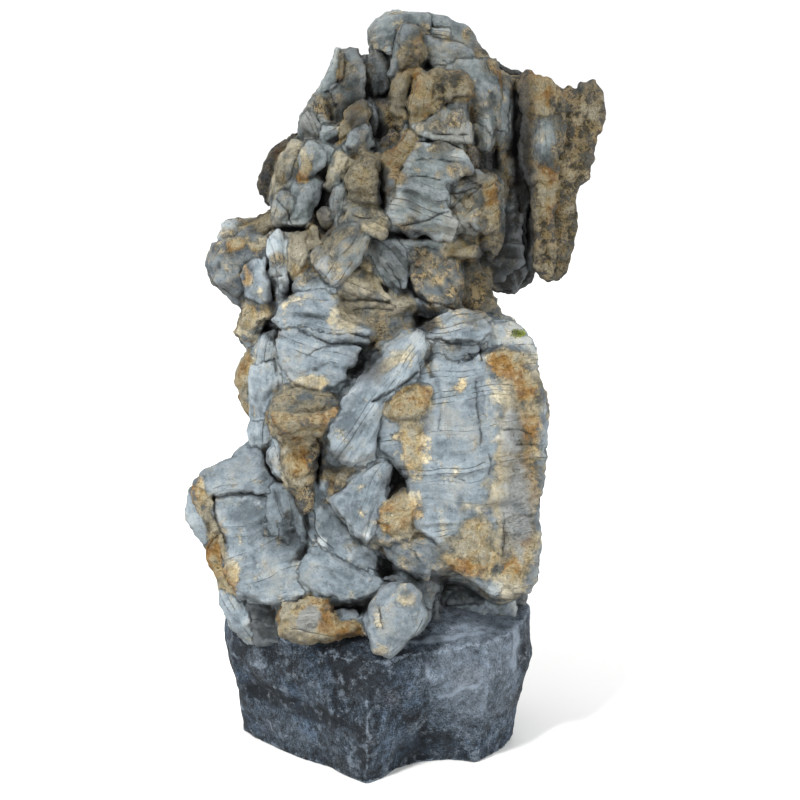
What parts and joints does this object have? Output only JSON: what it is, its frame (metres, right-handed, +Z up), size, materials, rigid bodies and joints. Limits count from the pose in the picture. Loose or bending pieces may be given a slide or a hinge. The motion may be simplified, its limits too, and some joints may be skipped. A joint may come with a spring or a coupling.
{
  "type": "scholars rock on stand",
  "caption": "Upright scholars rock of fused limestone slabs and lobes, with a leaning wing and a notch under it, standing on a dark hewn stone stand.",
  "frame": {"origin": "on the floor, under the middle of the stand", "axes": "+Z up, -Y towards the viewer of the front, +X to the viewer's right"},
  "size_m": [1.0872, 0.7312, 1.9074],
  "materials": {
    "limestone": "matt, weathered",
    "dark_stone": "matt, rough hewn"
  },
  "bodies": {
    "root": {"rock": "limestone", "stand": "dark_stone"}
  },
  "joints": []
}
